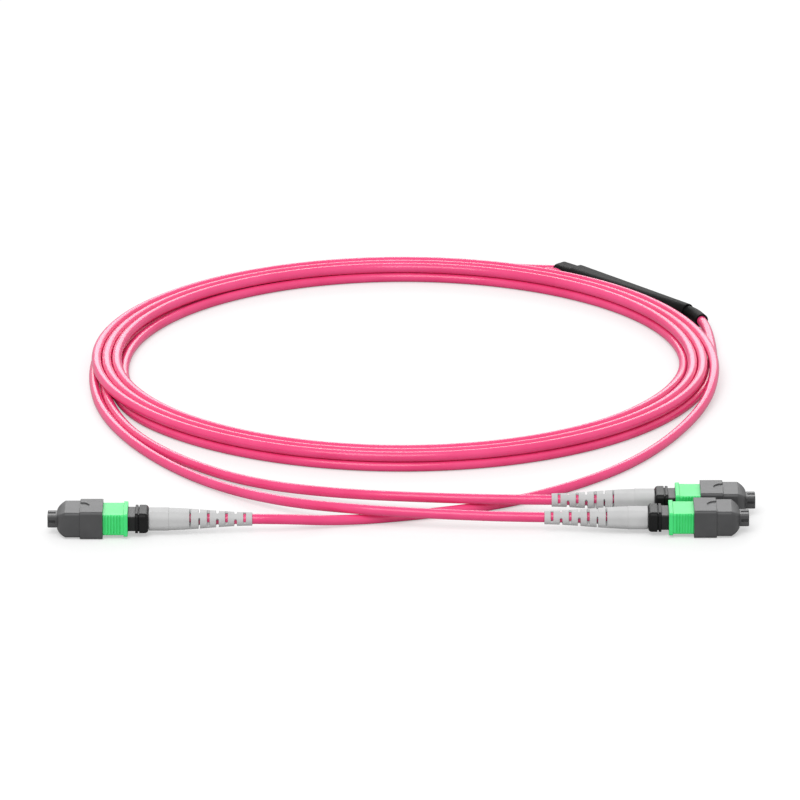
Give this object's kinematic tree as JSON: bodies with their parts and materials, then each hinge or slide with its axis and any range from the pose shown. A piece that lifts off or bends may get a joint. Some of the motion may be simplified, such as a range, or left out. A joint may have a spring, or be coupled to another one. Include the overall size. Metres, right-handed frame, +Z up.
{
  "type": "fibre optic breakout cable",
  "caption": "Coiled fibre optic breakout cable: magenta trunk with a capped multi-fibre plug, a black breakout tube, and legs ending in capped plugs with grey slotted boots.",
  "frame": {"origin": "centre of the base of the plugs' and breakout's box, on the surface the cable lies on", "axes": "+X to the right in the picture, +Y away from the viewer, +Z up"},
  "size_m": [0.2074, 0.2577, 0.0084],
  "materials": {
    "jacket_magenta": "smooth satin cable jacket",
    "boot_grey": "satin elastomer",
    "sleeve_green": "satin moulding",
    "housing_black": "satin moulding",
    "cap_grey": "fine matte moulding",
    "ferrule_moulding": "polished end face",
    "spring_steel": "drawn wire",
    "crimp_metal": "plated",
    "fibre": "coated fibres in a flat ribbon",
    "breakout_black": "satin tube",
    "sleeve_black": "shrunk sleeve",
    "potting_resin": "cast resin"
  },
  "bodies": {
    "cable": {"breakout_potting": "potting_resin", "breakout_tube": "breakout_black", "leg_a_boot": "boot_grey", "leg_a_cable": "jacket_magenta", "leg_a_crimp_ring": "crimp_metal", "leg_a_ferrule_spring": "spring_steel", "leg_a_fibre_ribbon": "fibre", "leg_a_inner_housing": "housing_black", "leg_a_rear_body": "housing_black", "leg_a_sleeve_spring_left": "spring_steel", "leg_a_sleeve_spring_right": "spring_steel", "leg_b_boot": "boot_grey", "leg_b_cable": "jacket_magenta", "leg_b_crimp_ring": "crimp_metal", "leg_b_ferrule_spring": "spring_steel", "leg_b_fibre_ribbon": "fibre", "leg_b_inner_housing": "housing_black", "leg_b_rear_body": "housing_black", "leg_b_sleeve_spring_left": "spring_steel", "leg_b_sleeve_spring_right": "spring_steel", "leg_exit_sleeve": "sleeve_black", "trunk_boot": "boot_grey", "trunk_coil": "jacket_magenta", "trunk_crimp_ring": "crimp_metal", "trunk_entry_sleeve": "sleeve_black", "trunk_ferrule_spring": "spring_steel", "trunk_fibre_ribbon": "fibre", "trunk_inner_housing": "housing_black", "trunk_lead": "jacket_magenta", "trunk_rear_body": "housing_black", "trunk_sleeve_spring_left": "spring_steel", "trunk_sleeve_spring_right": "spring_steel", "trunk_tail": "jacket_magenta"},
    "trunk_cap": {"trunk_dust_cap": "cap_grey"},
    "trunk_sleeve": {"trunk_pull_sleeve": "sleeve_green"},
    "trunk_ferrule_unit": {"trunk_ferrule": "ferrule_moulding", "trunk_pin_keeper": "spring_steel"},
    "leg_a_cap": {"leg_a_dust_cap": "cap_grey"},
    "leg_a_sleeve": {"leg_a_pull_sleeve": "sleeve_green"},
    "leg_a_ferrule_unit": {"leg_a_ferrule": "ferrule_moulding", "leg_a_pin_keeper": "spring_steel"},
    "leg_b_cap": {"leg_b_dust_cap": "cap_grey"},
    "leg_b_sleeve": {"leg_b_pull_sleeve": "sleeve_green"},
    "leg_b_ferrule_unit": {"leg_b_ferrule": "ferrule_moulding", "leg_b_pin_keeper": "spring_steel"}
  },
  "joints": [
    {"name": "trunk_cap_pull", "type": "slide", "parent": "cable", "child": "trunk_cap", "axis": [-1, 0, 0], "range_m": [0, 0.016]},
    {"name": "trunk_sleeve_slide", "type": "slide", "parent": "cable", "child": "trunk_sleeve", "axis": [1, 0, 0], "range_m": [0, 0.0019], "stiffness_N_per_m": 300, "deforming": ["trunk_sleeve_spring_left", "trunk_sleeve_spring_right"]},
    {"name": "trunk_ferrule_float", "type": "slide", "parent": "cable", "child": "trunk_ferrule_unit", "axis": [1, 0, 0], "range_m": [0, 0.001], "stiffness_N_per_m": 500, "deforming": ["trunk_ferrule_spring"]},
    {"name": "leg_a_cap_pull", "type": "slide", "parent": "cable", "child": "leg_a_cap", "axis": [1, 0, 0], "range_m": [0, 0.016]},
    {"name": "leg_a_sleeve_slide", "type": "slide", "parent": "cable", "child": "leg_a_sleeve", "axis": [-1, 0, 0], "range_m": [0, 0.0019], "stiffness_N_per_m": 300, "deforming": ["leg_a_sleeve_spring_left", "leg_a_sleeve_spring_right"]},
    {"name": "leg_a_ferrule_float", "type": "slide", "parent": "cable", "child": "leg_a_ferrule_unit", "axis": [-1, 0, 0], "range_m": [0, 0.001], "stiffness_N_per_m": 500, "deforming": ["leg_a_ferrule_spring"]},
    {"name": "leg_b_cap_pull", "type": "slide", "parent": "cable", "child": "leg_b_cap", "axis": [1, 0, 0], "range_m": [0, 0.016]},
    {"name": "leg_b_sleeve_slide", "type": "slide", "parent": "cable", "child": "leg_b_sleeve", "axis": [-1, 0, 0], "range_m": [0, 0.0019], "stiffness_N_per_m": 300, "deforming": ["leg_b_sleeve_spring_left", "leg_b_sleeve_spring_right"]},
    {"name": "leg_b_ferrule_float", "type": "slide", "parent": "cable", "child": "leg_b_ferrule_unit", "axis": [-1, 0, 0], "range_m": [0, 0.001], "stiffness_N_per_m": 500, "deforming": ["leg_b_ferrule_spring"]}
  ]
}
